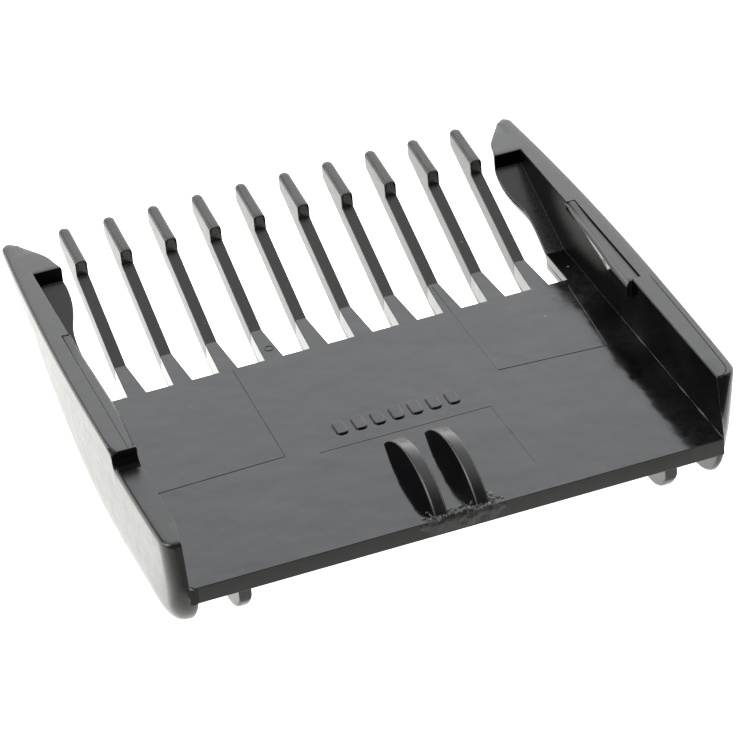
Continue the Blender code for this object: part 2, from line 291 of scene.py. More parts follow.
PER_METRE = 1000          # object coordinates are in metres, textures in millimetres
EDGE_WEAR_WIDTH = 0.12
PALE = (0.42, 0.42, 0.40, 1.0)   # dust, smears and worn edges


def moulded_plastic(
    name, tint, roughness, grain=0.25, scuffs=0.4, dust=0.3, streak=(0.25, 6.0, 6.0), wave=0.03,
    mottle=0.2, shine=0.5, haze=0.0,
):
    """Black moulded plastic: fine grain, slow waviness, rubbed streaks, dust and dulled edges.

    grain, scuffs, dust, mottle and haze say how strong each is. streak is the noise scale along
    x, y and z, smallest along the streaks. wave is the waviness in millimetres, and shine the
    specular level."""
    material = bpy.data.materials.new(name)
    material.use_nodes = True
    tree = material.node_tree
    shader = tree.nodes["Principled BSDF"]
    shader.inputs["IOR"].default_value = 1.53
    shader.inputs["Specular IOR Level"].default_value = shine
    place = add(tree, "TexCoord").outputs["Object"]
    in_mm = (PER_METRE, PER_METRE, PER_METRE)
    where = add(tree, "Mapping", {"Vector": place, "Scale": in_mm}).outputs["Vector"]
    along = add(tree, "Mapping", {"Vector": where, "Scale": streak}).outputs["Vector"]

    slow = noise_value(tree, where, 0.28, 2.0, 0.45)
    cloud = noise_value(tree, where, 0.9, 4.0, 0.6)
    fine = noise_value(tree, where, 9.0, 2.0)
    rub = noise_value(tree, along, 1.0, 3.0, 0.7)
    rubbed = remap(tree, rub, 0.58, 0.78, 0.0, scuffs)
    smear = math_node(
        tree, "MULTIPLY",
        remap(tree, noise_value(tree, where, 0.11, 1.0), 0.50, 0.68, 0.0, haze),
        remap(tree, noise_value(tree, where, 1.6, 4.0, 0.7), 0.35, 0.75, 0.2, 1.0),
    )

    # Dust: a few small pale grains, in cells of about 3 mm, most of them empty
    cells = add(tree, "TexVoronoi", {"Vector": where, "Scale": 0.42, "Randomness": 1.0})
    draw = add(tree, "SeparateColor", {"Color": cells.outputs["Color"]}).outputs[0]
    size = remap(tree, draw, 0.72, 1.0, 0.0, 0.055)
    grain_mask = math_node(tree, "LESS_THAN", cells.outputs["Distance"], size)
    specks = math_node(tree, "MULTIPLY", grain_mask, dust)

    # Edges: where the rounded normal departs from the true one
    soft = add(tree, "Bevel", {"Radius": EDGE_WEAR_WIDTH * MM}, samples=4).outputs["Normal"]
    normal = add(tree, "NewGeometry").outputs["Normal"]
    facing = add(tree, "VectorMath", {0: soft, 1: normal}, operation="DOT_PRODUCT")
    edge = remap(tree, facing.outputs["Value"], 0.995, 0.90, 0.0, 1.0)

    # Colour: darker and lighter patches of the tint, then smears, worn edges and dust
    swing = 0.28 + 0.5 * mottle
    dark = tuple(c * (1 - swing) for c in tint) + (1.0,)
    light = tuple(c * (1 + swing) for c in tint) + (1.0,)
    streaks = remap(tree, rub, 0.3, 0.7, 0.0, 1.0)
    patch = add(tree, "Mix", {"Factor": mottle, 2: cloud, 3: streaks}).outputs[0]
    colour = mix_colour(tree, patch, dark, light)
    colour = mix_colour(tree, math_node(tree, "MULTIPLY", smear, 0.03), colour, PALE)
    colour = mix_colour(tree, math_node(tree, "MULTIPLY", edge, 0.05), colour, PALE)
    colour = mix_colour(tree, specks, colour, PALE)
    tree.links.new(colour, shader.inputs["Base Color"])

    # Roughness: each kind of wear adds its share
    level = remap(tree, patch, 0.25, 0.75, roughness * 0.88, roughness * 1.14)
    for wear, share in ((rubbed, 0.12), (specks, 0.8), (edge, 0.10), (smear, 0.14)):
        level = math_node(tree, "ADD", level, math_node(tree, "MULTIPLY", wear, share))
    tree.links.new(level, shader.inputs["Roughness"])

    waves = bump(tree, 1.0, wave, slow)
    scuff = bump(tree, 0.25, 0.004, rubbed, waves)
    skin = bump(tree, grain, 0.003, fine, scuff)
    tree.links.new(skin, shader.inputs["Normal"])
    return material


POLISHED = moulded_plastic(
    "polished_black_abs", (0.001, 0.001, 0.0014), 0.10, grain=0.12, wave=0.06, haze=1.0
)
GLAZED = moulded_plastic(
    "glazed_black_abs", (0.004, 0.004, 0.0042), 0.29, grain=0.15, wave=0.0, scuffs=0.8,
    streak=(5.0, 0.3, 5.0),
)
# Painted shade: the black with its reflection all but turned off (shine 0.06), put on faces that
# lie in shade so that they read black.
PAINTED_SHADE_ABS = moulded_plastic(
    "painted_shade_black_abs", (0.0022, 0.0022, 0.0022), 0.34, grain=0.3, wave=0.0, mottle=0.5, shine=0.06
)
SATIN = moulded_plastic(
    "satin_black_abs", (0.015, 0.015, 0.0148), 0.30, grain=0.4, streak=(6.0, 0.25, 6.0)
)
OUTER = moulded_plastic(
    "outer_black_abs", (0.008, 0.008, 0.0072), 0.25, grain=0.3, wave=0.02,
    streak=(6.0, 0.3, 2.0), shine=0.38,
)
TINE = moulded_plastic(
    "tine_black_abs", (0.008, 0.008, 0.0075), 0.26, grain=0.5, scuffs=0.9, mottle=0.9,
    streak=(6.0, 0.5, 6.0),
)
RUBBED = moulded_plastic(
    "rubbed_black_abs", (0.042, 0.042, 0.041), 0.40, grain=0.6, scuffs=0.8, mottle=0.5,
    streak=(5.0, 0.3, 5.0),
)
CUT = moulded_plastic(
    "cut_black_abs", (0.012, 0.012, 0.011), 0.30, grain=1.0, scuffs=1.0, dust=0.6, wave=0.1
)


# ---------------------------------------------------------------- plate

def plate_outline():
    """The plate in plan. Its sides run on into the walls, and its fingers into the tines."""
    tuck_x, tuck_y = INNER_X + 0.5, 4.0
    edge_end = CREASE_Y + 0.3
    finger_end, finger_inset = CREASE_Y + 0.6, 0.08
    outline = [(-INNER_X - 0.46, 0.47), (-INNER_X + 0.07, 0)]    # the slanted left rear corner
    outline += [(INNER_X, 0), (INNER_X, tuck_y), (tuck_x, tuck_y + 0.5)]
    outline += [(tuck_x, edge_end), (EDGE_X + 0.2, edge_end), (EDGE_X, CREASE_Y - 0.05)]
    outline += [(EDGE_X, SLOT_Y)]
    for number in range(TINE_COUNT, 0, -1):
        x = tine_x(number)
        right, left = x + TINE_HALF - finger_inset, x - TINE_HALF + finger_inset
        outline += [(x + ROOT_HALF, SLOT_Y), (x + TINE_HALF, CREASE_Y - 0.02)]
        outline += [(right, CREASE_Y + 0.05), (right, finger_end)]
        outline += [(left, finger_end), (left, CREASE_Y + 0.05)]
        outline += [(x - TINE_HALF, CREASE_Y - 0.02), (x - ROOT_HALF, SLOT_Y)]
    outline += [(-EDGE_X, SLOT_Y), (-EDGE_X, CREASE_Y - 0.05), (-EDGE_X - 0.2, edge_end)]
    outline += [(-tuck_x, edge_end), (-tuck_x, tuck_y)]
    return outline


def groove(start, end, width, depth):
    """A cutter for a straight V-shaped line across the plate's top."""
    work = bmesh.new()
    (x0, y0), (x1, y1) = start, end
    run = Vector((x1 - x0, y1 - y0, 0))
    # The V is as wide as asked for at the plate's top, and goes on above it
    side = Vector((-run.y, run.x, 0)).normalized() * width * 1.5
    up = Vector((0, 0, depth * 2))
    rows = []
    for x, y in (start, end):
        middle = Vector((x, y, 0))
        corners = (middle - side + up, middle - up / 2, middle + side + up)
        rows.append([work.verts.new(c) for c in corners])
    for k in range(3):
        n = (k + 1) % 3
        work.faces.new((rows[0][k], rows[0][n], rows[1][n], rows[1][k]))
    work.faces.new(rows[0])
    work.faces.new(rows[1])
    bmesh.ops.recalc_face_normals(work, faces=work.faces)
    return placed_mesh("groove", work)


# Shallow lines where the mould's inserts met: start, end, width, depth. They are cut one by one.
WITNESS_LINES = [
    ((-20.9, 13.2), (-10.0, 13.5), 0.11, 0.05),
    ((-10.0, 13.56), (-9.7, 27.2), 0.06, 0.03),
    ((9.97, 17.36), (9.8, 31.6), 0.07, 0.035),
    ((9.97, 17.28), (19.4, 16.6), 0.11, 0.055),
    ((19.42, 16.7), (20.2, 26.5), 0.045, 0.02),
    ((-7.4, 12.7), (7.4, 12.7), 0.08, 0.04),
    ((7.42, 12.6), (7.6, 3.4), 0.08, 0.035),
    ((-7.42, 12.6), (-7.6, 7.0), 0.04, 0.018),
]

plate = to_object(
    "plate", prism(plate_outline(), -PLATE_THICKNESS, 0.0, 0.06), [POLISHED],
    ["base_plate"],
)
for start, end, width, depth in WITNESS_LINES:
    cut(plate, groove(start, end, width, depth))


# ---------------------------------------------------------------- tines

HEEL_RADIUS = 3.7         # the runners' rounded rear ends
OUTER_RUNNER_REAR_Y = 0.7
INNER_RUNNER_REAR_Y = 7.0
RUNNER_TOP_Z = -0.7       # a runner reaches up into the plate
BLOCK_SLOPE = 0.115       # a stop block's top rises a little towards the tip
BLOCK_ROUND = 0.28
TIP_RADIUS = 0.5
# The rounded top edge of a stop face: how far ahead, how high over the rail, side rounding
STOP_EDGE = [(0.0, -0.09, 0.26), (0.02, -0.03, 0.27), (0.07, 0.01, 0.28), (0.16, 0.03, 0.28)]


def tine_rings(number):
    x = tine_x(number)
    rear = OUTER_RUNNER_REAR_Y if number in (1, TINE_COUNT) else INNER_RUNNER_REAR_Y
    rings = []

    def ring(y, top, bottom, half=TINE_HALF, top_round=0.06):
        section = bar_section(x, half, top, bottom, top_round, 0.3)
        rings.append([(u, y, v) for u, v in section])

    for angle in spread(25, 90, 9):
        a = math.radians(angle)
        y = rear + HEEL_RADIUS * (1 - math.cos(a))
        ring(y, RUNNER_TOP_Z, RUNNER_Z + HEEL_RADIUS * (1 - math.sin(a)))
    for y in spread(13.0, CREASE_Y, 12):
        ring(y, RUNNER_TOP_Z, runner_z(y))
    for y in spread(CREASE_Y, STOP_Y, 7):
        ring(y, incline_z(y), runner_z(y))
    for ahead, over, top_round in STOP_EDGE:
        ring(STOP_Y + ahead, RAIL_Z + over, runner_z(STOP_Y), top_round=top_round)
    for y in spread(STOP_Y + 1.0, NOSE_Y - 0.6, 3):
        ring(y, RAIL_Z + BLOCK_SLOPE * (y - STOP_Y), runner_z(y), top_round=BLOCK_ROUND)
    for angle in (0, 20, 40, 55, 70, 82):
        a = math.radians(angle)
        y = NOSE_Y - TIP_RADIUS + TIP_RADIUS * math.sin(a)
        top = RAIL_Z + BLOCK_SLOPE * (y - STOP_Y) - 0.16 * (1 - math.cos(a))
        bottom = runner_z(y) + 0.25 * (1 - math.cos(a))
        ring(y, top, bottom, TINE_HALF * max(0.2, math.cos(a)), BLOCK_ROUND)
    return rings


def tine_finish(middle, normal):
    """Rubbed tops of the stop blocks, plain moulded elsewhere."""
    return 1 if middle.y > STOP_Y and normal.z > 0.75 else 0


for number in range(1, TINE_COUNT + 1):
    loft(
        f"tine_{number:02d}_body", tine_rings(number), [TINE, RUBBED],
        [f"tine_{number:02d}"], tine_finish,
    )


# ---------------------------------------------------------------- edge tines and lugs

# The side an edge tine turns to the slot: y, distance from the comb's middle
SLOT_SIDE = [
    (28.0, 20.45), (32.0, 20.5), (35.2, 20.62), (36.6, 20.45), (37.8, 20.0), (39.0, 19.68),
    (40.3, 19.62), (41.1, 19.72), (42.2, 20.0), (43.3, 20.27), (44.6, 21.02), (45.6, 21.66),
    (46.15, 22.0),
]
EDGE_START_Y = 28.0       # an edge tine grows out of the plate's underside from here
EDGE_START_Z = -1.45
LUG_END_Y = 46.1


def edge_rings(side):
    """Sections of an edge tine, and of the lug it ends in."""
    rings = []

    def ring(y, top, lug, bottom=None, top_round=0.12):
        x = smooth_path(SLOT_SIDE, y)
        inside = INNER_X + 0.3
        shelf = top - 0.4 if lug else top
        floor = runner_z(y) + 0.02 if bottom is None else bottom
        flank = max(min(top - (1.75 if lug else 0.4), top - 0.3), floor + 0.15)
        foot = min(x + 0.9, inside - 0.2)
        section = [(inside, shelf), (INNER_X, shelf), (INNER_X, top)]
        section += arc(x + top_round, top - top_round, top_round, 90, 180, 4)
        section += [(x, flank), (x + (foot - x) * 0.35, flank * 0.6 + floor * 0.4)]
        section += [(foot, floor), (inside, floor)]
        rings.append([(side * u, y, v) for u, v in section])

    # Under the plate it deepens to the runner's line
    deepening = runner_z(CREASE_Y) + 0.02 - EDGE_START_Z
    for y in spread(EDGE_START_Y, CREASE_Y, 4):
        blend = (y - EDGE_START_Y) / (CREASE_Y - EDGE_START_Y)
        ring(y, -0.8, False, bottom=EDGE_START_Z + blend * deepening, top_round=0.05)
    for y in spread(CREASE_Y, STOP_Y, 16):
        ring(y, incline_z(y), False)
    for ahead, under, top_round in ((0.0, 0.12, 0.16), (0.03, 0.04, 0.18), (0.12, 0.0, 0.2)):
        ring(STOP_Y + ahead, RAIL_Z - under, True, top_round=top_round)
    for y in spread(STOP_Y + 0.6, LUG_END_Y, 10):
        ring(y, RAIL_Z, True, top_round=0.22)
    return rings


def edge_finish(middle, normal):
    """Satin on top of the lug, painted shade on the stop face (the black with almost no
    reflection), polished sides, plain moulded incline and foot.
    """
    if normal.z > 0.7:
        return 0 if middle.y > STOP_Y else 2
    if normal.z < -0.25:
        return 2
    # The stop face gets painted shade: a black that hardly reflects, so it reads as shaded.
    return 3 if middle.y < STOP_Y + 0.3 and normal.y < -0.4 else 1


for side, word in SIDE_NAMES.items():
    loft(
        f"{word}_edge_tine_body", edge_rings(side), [SATIN, POLISHED, TINE, PAINTED_SHADE_ABS],
        [f"{word}_edge_tine"], edge_finish,
    )


# ---------------------------------------------------------------- side walls

WIDEST_Y = 21
WALL_HEEL = 5.0           # radius of a wall's lower rear corner
CORNER = {-1: 0.95, 1: 1.05}            # rounding of the upright rear corners, at the rail
CORNER_GROWTH = {-1: 0.03, 1: 0.33}     # and how much it grows for each millimetre down
FOOT_X = {-1: 21.95, 1: 21.75}          # inner side of a wall's foot, under the plate
FOOT_DEPTH = 0.6                        # where the foot starts, under the plate's top
NOSE_FOOT_X = 21.9                      # the foot's inner side ahead of the plate
NOSE_REAR_Y = 46.0                      # ahead of this a wall's inner face slants outwards
CUTAWAY_ROUND = 0.85                    # fillet at the bottom of the left wall's step
STEP_ROUND = 0.1                        # and the small rounding over its top
RAIL_EDGE = 0.26                        # rounding of the rails' outer edges
LOW_RAIL_EDGE = 0.36                    # and of the low rail's, behind the step
STEP_EDGE = 0.36                        # what the rounding gains at the step,
STEP_EDGE_LENGTH = 1.6                  # and how far ahead of it that fades out
SLANT = 0.43                            # how much thinner the left wall's rear end is,
SLANT_Y, SLANT_LENGTH = 0.5, 3.0        # and where it slants to that
LIP_RECESS = 0.75                       # how deep the rail is cut for its lip
SEAM_END_Y = 16.6                       # the right rail has a seam line behind this
SEAM_INSET = 0.38
LEAN = 1.1                              # the walls' rear ends lean forwards by this at the rail
LEAN_LENGTH = 4.0
HULL_STEPS = 14                         # points up a wall's outside


def wall_outer(y):
    """Outer face of a wall at the rail: it curves in towards both ends."""
    curve = 0.0014 if y > WIDEST_Y else 0.0007
    return HALF_WIDTH - curve * (y - WIDEST_Y) ** 2


def wall_bottom(y):
    """Lower edge of a wall. Its rear corner comes no higher than the plate's underside."""
    heel = runner_z(y) + corner_inset(y - REAR_Y, WALL_HEEL)
    return min(heel, -PLATE_THICKNESS - 0.02) if y < CREASE_Y else heel


def hull_inset(y, z, bottom):
    """Draft and the rounding under, of a wall's outer face."""
    reach = min(2.2 + 0.1 * max(0.0, y - 20), 0.7 * (RAIL_Z - bottom))
    width = 1.5 * min(1.0, (RAIL_Z - bottom) / RAIL_Z)
    short = min(1.0, max(0.0, 1 - (z - bottom) / reach))
    draft = 0.25 * (RAIL_Z - z) / (RAIL_Z - RUNNER_Z)
    return draft + width * (1 - math.sqrt(1 - short**2))


def wall_top(y, side):
    """The rail's height: on the left it drops behind the cutaway, through a fillet."""
    if side > 0 or y >= CUTAWAY_Y + STEP_ROUND:
        return RAIL_Z
    if y >= CUTAWAY_Y:
        back = (CUTAWAY_Y + STEP_ROUND - y) / STEP_ROUND
        return RAIL_Z - 0.06 + 0.06 * math.sqrt(1 - back**2)
    return CUTAWAY_Z + corner_inset(CUTAWAY_Y - y, CUTAWAY_ROUND)


def nose_inner(y):
    """Inner face of a wall: flat as far as the lug, then slanting out to the nose's tip."""
    return INNER_X if y < NOSE_REAR_Y else INNER_X - 0.2 + 1.1 * max(0.0, y - 46.12)


def wall_ring(y, side, top, base, foot_x, in_lip):
    """A wall's section at y, from the rail down the inner face, round the foot and up outside.

    top is the rail's height there, and base the height of the plate, lug or tine it stands by."""
    bottom = wall_bottom(y)
    outer_x = wall_outer(y)
    ahead = max(0.0, y - CUTAWAY_Y)
    edge = LOW_RAIL_EDGE if side < 0 and ahead == 0 else RAIL_EDGE
    if side < 0 and ahead > 0:
        edge += STEP_EDGE * max(0.0, 1 - ahead / STEP_EDGE_LENGTH) ** 1.5
    edge = min(edge, 0.45 * (top - bottom))
    inner_x = nose_inner(y)
    if side < 0 and y < SLANT_Y + SLANT_LENGTH:
        inner_x += SLANT * min(1.0, 1 - (y - SLANT_Y) / SLANT_LENGTH) ** 1.5
    fillet = 0.02
    if side > 0 and y < 17:    # uneven where the right wall meets the plate
        fillet = max(0.005, 0.03 + 0.13 * noise.noise(Vector((y * 0.6, 2.0, 5.0))))
    inner_edge = 0.005 if STOP_Y < y < LUG_END_Y else 0.1
    if side < 0 and y < CUTAWAY_Y:
        inner_edge = 0.02
    seam_depth = 0.09 if side > 0 and y < SEAM_END_Y else 0.0
    chamfer = 0.03 if seam_depth else 0.0
    floor = top - LIP_RECESS if in_lip else top

    def face_x(z):
        """Outer face, drawn in at the rear corner and at the nose."""
        corner = CORNER[side] + CORNER_GROWTH[side] * (RAIL_Z - z)
        x = outer_x - hull_inset(y, z, bottom) - corner_inset((y - REAR_Y) / 1.5, corner)
        x -= corner_inset(LENGTH - y, 0.75) * 1.1
        return max(x, inner_x + 0.03)

    rim = face_x(top - chamfer - edge)
    edge = min(edge, max(0.01, (rim - inner_x) * 0.45))
    inner_edge = min(inner_edge, max(0.004, (rim - inner_x) * 0.3))
    seam_x = rim - edge - SEAM_INSET
    if in_lip:
        step_x = min(LIP_STEP_X[side], rim - edge - 0.01)
    else:
        step_x = max(seam_x - 0.06, inner_x + inner_edge)
    section = [(step_x, top), (step_x, floor), (inner_x + inner_edge, floor)]
    section += arc(inner_x + inner_edge, floor - inner_edge, inner_edge, 90, 180, 4)[1:]
    section += arc(inner_x - fillet, base + fillet, fillet, 0, -90, 5)
    shoulder = max(base - FOOT_DEPTH, bottom + 0.08)
    if side < 0 and y < 1.2:
        section += [(foot_x, base - 0.14), (foot_x, shoulder)]
    else:
        section += [(inner_x - fillet, max(base - 0.3, shoulder + 0.02)), (foot_x, shoulder)]
    foot_round = min(0.35, (shoulder - bottom) * 0.5)
    section += arc(foot_x + foot_round, bottom + foot_round, foot_round, 180, 270, 4)
    for k in range(1, HULL_STEPS + 1):
        z = bottom + (k / HULL_STEPS) ** 1.6 * (top - chamfer - edge - bottom)
        section.append((max(face_x(z), foot_x + foot_round + 0.02), z))
    section += arc(rim - edge, top - chamfer - edge, edge, 0, 90, 6)[1:]
    if step_x + 0.05 < seam_x and not in_lip:
        section += [(seam_x + 0.03, top - chamfer), (seam_x, top - chamfer / 2 - seam_depth)]
    else:
        section += [(step_x + (rim - edge - step_x) * f, top - chamfer * f) for f in (0.6, 0.3)]
    return section


def wall_rings(side):
    lip_rear = LIP_REAR_Y[side]
    # Places along the wall, and whether the rail is cut away there for its lip
    rear = [REAR_Y + WALL_HEEL * (1 - math.cos(math.radians(a))) for a in spread(0, 90, 14)]
    places = [(y, False) for y in rear]
    if side < 0:
        places += [(y, False) for y in (6.5, 8.0, 9.5, 10.8, 11.6)]
        behind = (CUTAWAY_ROUND, 0.62, 0.44, 0.29, 0.17, 0.08, 0.03, 0.005)
        places += [(CUTAWAY_Y - d, False) for d in behind]
        places += [(CUTAWAY_Y + d, False) for d in (0.0, 0.02, 0.05, 0.09, 0.15)]
    else:
        places += [(y, False) for y in spread(6.5, lip_rear, 8)[:-1]]
    places += [(lip_rear + 0.02, False), (lip_rear + 0.02, True)]
    places += [(y, True) for y in spread(lip_rear + 0.8, LIP_FRONT_Y[side], 14)]
    places += [(LIP_FRONT_Y[side], False), (CREASE_Y, False)]
    rings = []
    for y, in_lip in places:
        top = wall_top(y, side)
        drop = corner_inset(y - REAR_Y, 0.35 if side < 0 else 0.12)
        section = wall_ring(y, side, top - drop, 0.0, FOOT_X[side], in_lip)
        fade = max(0.0, 1 - (y - REAR_Y) / LEAN_LENGTH)
        lean = fade * LEAN / RAIL_Z
        sunk = 0.08 * max(0.0, 1 - (y - REAR_Y)) if side < 0 else 0.0
        rings.append([(side * u, y + lean * max(0.0, v) - sunk, v) for u, v in section])
    ahead = spread(CREASE_Y, STOP_Y, 10) + [STOP_Y + 0.01] + spread(STOP_Y + 0.8, 45.9, 6)
    ahead += [46.12, 46.3, 46.45, 46.58, 46.7, 46.8, 46.87]    # closer and closer to the tip
    for y in ahead:
        base = incline_z(y) if y <= STOP_Y else min(RAIL_Z - 0.5, wall_bottom(y) + 2.2)
        base = max(base, wall_bottom(y) + 0.62)
        foot_x = NOSE_FOOT_X if y < NOSE_REAR_Y else nose_inner(y) - 0.02
        drop = 0.2 * corner_inset(LENGTH - y, 0.6)
        section = wall_ring(y, side, RAIL_Z - drop, min(base, RAIL_Z - 0.2 - drop), foot_x, False)
        rings.append([(side * u, y, v) for u, v in section])
    return rings


WALL_MATERIALS = [SATIN, POLISHED, OUTER, PAINTED_SHADE_ABS, GLAZED]
# From this y forwards the inner faces get painted shade.
PAINTED_SHADE_FROM_Y = 20


def wall_finish(middle, normal):
    """Place in WALL_MATERIALS: by default satin on top and the outer finish everywhere else, with
    painted shade (a black that hardly reflects) on the inner face ahead of y = 20, on the step
    and on the right wall's rear end.
    """
    faces_in = normal.x * middle.x < 0 and abs(normal.x) > 0.5
    if abs(middle.x) < INNER_X + 0.6 and faces_in:
        if middle.z < -0.5:
            return 2                                  # the foot, under the plate
        # Ahead of y = 20 the inner face gets painted shade, a black that hardly reflects.
        return 1 if middle.y < PAINTED_SHADE_FROM_Y else 3     # the inner face
    # The step gets painted shade too.
    if (normal.y < -0.1 and middle.z > CUTAWAY_Z
            and CUTAWAY_Y - CUTAWAY_ROUND - 0.05 < middle.y < PAINTED_SHADE_FROM_Y):
        return 3                                      # the step
    if middle.x < 0 and middle.y < CUTAWAY_Y and normal.z > 0.5:
        return 4                                      # the low rail behind the step
    # And so does the right wall's rear end.
    if middle.x > 0 and normal.y < -0.9 and middle.z > 0:
        return 3                                      # the right wall's rear end
    return 0 if normal.z > 0.5 else 2


for side, word in SIDE_NAMES.items():
    loft(
        f"{word}_side_wall_body", wall_rings(side), WALL_MATERIALS,
        [f"{word}_side_wall"], wall_finish,
    )


# ---------------------------------------------------------------- guide lips

# A lip's inner edge: y, distance from the comb's middle
LIP_INNER = {
    1: [(17.4, 21.66), (18.2, 21.66), (20.9, 21.71), (24.8, 21.98), (31.0, 22.17)],
    -1: [
        (12.9, 22.24), (13.4, 22.12), (16.5, 21.86), (19.7, 21.77), (26.2, 21.89), (31.0, 22.08),
    ],
}
LIP_GROOVE = {-1: 0.08, 1: 0.05}        # the thin gap between a lip and its rail
LIP_DEPTH, LIP_THINNING = 1.5, 1.25     # its depth at the rear, and what it loses forwards
LIP_RISE = 0.16                         # how much it rises to the rail at its front


def lip_rings(side):
    rings = []
    rear = LIP_REAR_Y[side]
    # The right lip starts with a short tab inside the wall
    places = [(rear - 0.35, True), (rear, True)] if side > 0 else []
    places += [(rear + 0.02, False), (rear + 0.06, False), (rear + 0.14, False)]
    places += [(y, False) for y in spread(rear + 0.6, LIP_FRONT_Y[side] + 0.25, 16)]
    for y, tab in places:
        depth = LIP_DEPTH - LIP_THINNING * min(1.0, max(0.0, (y - 18.0) / 12.8))
        flush = LIP_RISE * min(1.0, max(0.0, (y - 27.5) / 3.2)) ** 2
        if tab:
            x, top = INNER_X + 0.12, LIP_Z - 0.02
        else:
            x, top = smooth_path(LIP_INNER[side], y), LIP_Z + flush - corner_inset(y - rear, 0.1)
        step_x = LIP_STEP_X[side]
        outer = step_x - LIP_GROOVE[side]
        fall = min(0.5, depth * 0.85)
        section = [(step_x + 0.15, top - 0.45), (outer, top - 0.4)]
        section += [(outer, top - 0.03), (outer - 0.03, top)]
        section += arc(x + 0.32, top - 0.08, 0.08, 90, 125, 3)
        section += arc(x + 0.12, top - fall, 0.12, 150, 180, 3)
        section += [(x + 0.02, top - depth), (INNER_X + 0.35, top - depth - 0.25)]
        section += [(step_x + 0.15, top - depth - 0.25)]
        rings.append([(side * u, y, v) for u, v in section])
    return rings


def lip_finish(middle, normal):
    """Polished on the upright inner edge, satin elsewhere."""
    return 1 if abs(normal.x) > 0.93 and normal.x * middle.x < 0 else 0


for side, word in SIDE_NAMES.items():
    loft(
        f"{word}_guide_lip_body", lip_rings(side), [SATIN, POLISHED],
        [f"{word}_guide_lip"], lip_finish,
    )


# ---------------------------------------------------------------- latch fins

FIN_X, FIN_Y, FIN_HALF = 1.75, 6.0, 0.575    # middle and half width
FIN_HALF_CHORD, FIN_HEIGHT = 5.6, 2.45
FIN_SINK = 0.03           # the arch runs on into the plate by this angle


def fin_rings(side):
    radius = (FIN_HALF_CHORD**2 + FIN_HEIGHT**2) / (2 * FIN_HEIGHT)
    reach = math.asin(FIN_HALF_CHORD / radius)
    rings = []
    for a in spread(-reach - FIN_SINK, reach + FIN_SINK, 26):
        y = FIN_Y + radius * math.sin(a)
        top = FIN_HEIGHT - radius + radius * math.cos(a)
        ridge_round = 0.17 - 0.08 * a / reach
        section = bar_section(side * FIN_X, FIN_HALF, top, -0.5, ridge_round, 0.05)
        rings.append([(u, y, v) for u, v in section])
    return rings


def fin_finish(middle, normal):
    """Polished cheeks, a duller ridge."""
    return 0 if abs(normal.x) < 0.8 else 1


for side, word in SIDE_NAMES.items():
    loft(
        f"{word}_latch_fin_body", fin_rings(side), [GLAZED, POLISHED],
        [f"{word}_latch_fin"], fin_finish,
    )


# ---------------------------------------------------------------- gate stub and small marks

GATE_LEFT_X, GATE_WIDTH = -3.75, 7.2
GATE_STEPS = 150
GATE_REAR_LIMIT, GATE_TOP_LIMIT = -0.24, 0.2    # how far the tear may stand proud
# The tear's profile, from low on the rear face over the edge: y, z, raggedness
GATE_PROFILE = [
    (-0.03, -1.3, 0.2), (-0.05, -0.95, 0.5), (-0.06, -0.75, 0.6), (-0.08, -0.55, 0.8),
    (-0.1, -0.38, 0.9), (-0.1, -0.24, 1.0), (-0.07, -0.1, 1.0), (0.02, 0.0, 1.0),
    (0.14, 0.03, 1.0), (0.27, 0.03, 1.0), (0.40, 0.02, 0.9), (0.52, 0.0, 0.7),
    (0.64, -0.02, 0.4), (0.74, -0.06, 0.0),
]


def rough_gate():
    """The torn edge that trimming the gate left: ragged over the plate's rear top edge."""
    rings = []
    for k in range(GATE_STEPS + 1):
        x = GATE_LEFT_X + GATE_WIDTH * k / GATE_STEPS
        fade = min(1.0, 7 * k / GATE_STEPS, 7 * (GATE_STEPS - k) / GATE_STEPS)
        sink = 1 - fade
        section = [(0.6, -0.5), (0.3, -1.36)]
        for j, (y, z, ragged) in enumerate(GATE_PROFILE):
            flow = noise.noise(Vector((x * 0.9, j * 0.45, 4.0)))
            flow += 0.6 * noise.noise(Vector((x * 2.6, j * 0.7, 7.0)))
            chip = abs(noise.noise(Vector((x * 5.5, j * 0.8, 1.0))))
            swing = fade * ragged * (0.19 * flow + 0.2 * chip)
            # The rear face swings backwards, the top upwards
            out = min(1.0, max(0.0, 1 - j / 7))
            rear = y - swing * out + 0.16 * sink * out
            top = z + swing * (1 - out) + 0.05 * swing - 0.12 * sink * (1 - out)
            section.append((max(GATE_REAR_LIMIT, rear), min(GATE_TOP_LIMIT, top)))
        rings.append([(x, u, v) for u, v in section])
    return rings


loft("gate_stub_torn", rough_gate(), [CUT], ["gate_stub"])

# Torn flakes beside the gate and at the fins' rear ends: x, y, size
FLAKES = [
    (-3.1, 0.62, 0.20), (-2.5, 0.78, 0.16), (-1.1, 0.85, 0.22), (-0.5, 0.72, 0.15),
    (0.1, 0.95, 0.26), (0.55, 0.7, 0.18), (1.0, 1.0, 0.2), (2.45, 0.9, 0.3), (2.75, 1.35, 0.2),
    (3.0, 0.75, 0.22), (2.6, 1.9, 0.14), (-2.6, 1.3, 0.12), (1.55, 0.62, 0.2), (3.35, 0.55, 0.14),
]


def flakes():
    """Each flake is a lumpy closed shell, flattened and turned its own way."""
    work = bmesh.new()
    for k, (x, y, size) in enumerate(FLAKES):
        grown = bmesh.ops.create_icosphere(work, subdivisions=2, radius=size)["verts"]
        turn = Matrix.Rotation(1.7 * k, 3, "Z")
        for vert in grown:
            lump = noise.noise(vert.co * (2.2 / size) + Vector((k * 3.7, 0, 0)))
            shape = vert.co * (1 + 0.5 * lump)
            flat = Vector((shape.x * 1.6, shape.y * 0.8, shape.z * 0.45))
            vert.co = turn @ flat + Vector((x, y, 0.0))
    return work


to_object("gate_flakes", flakes(), [CUT])


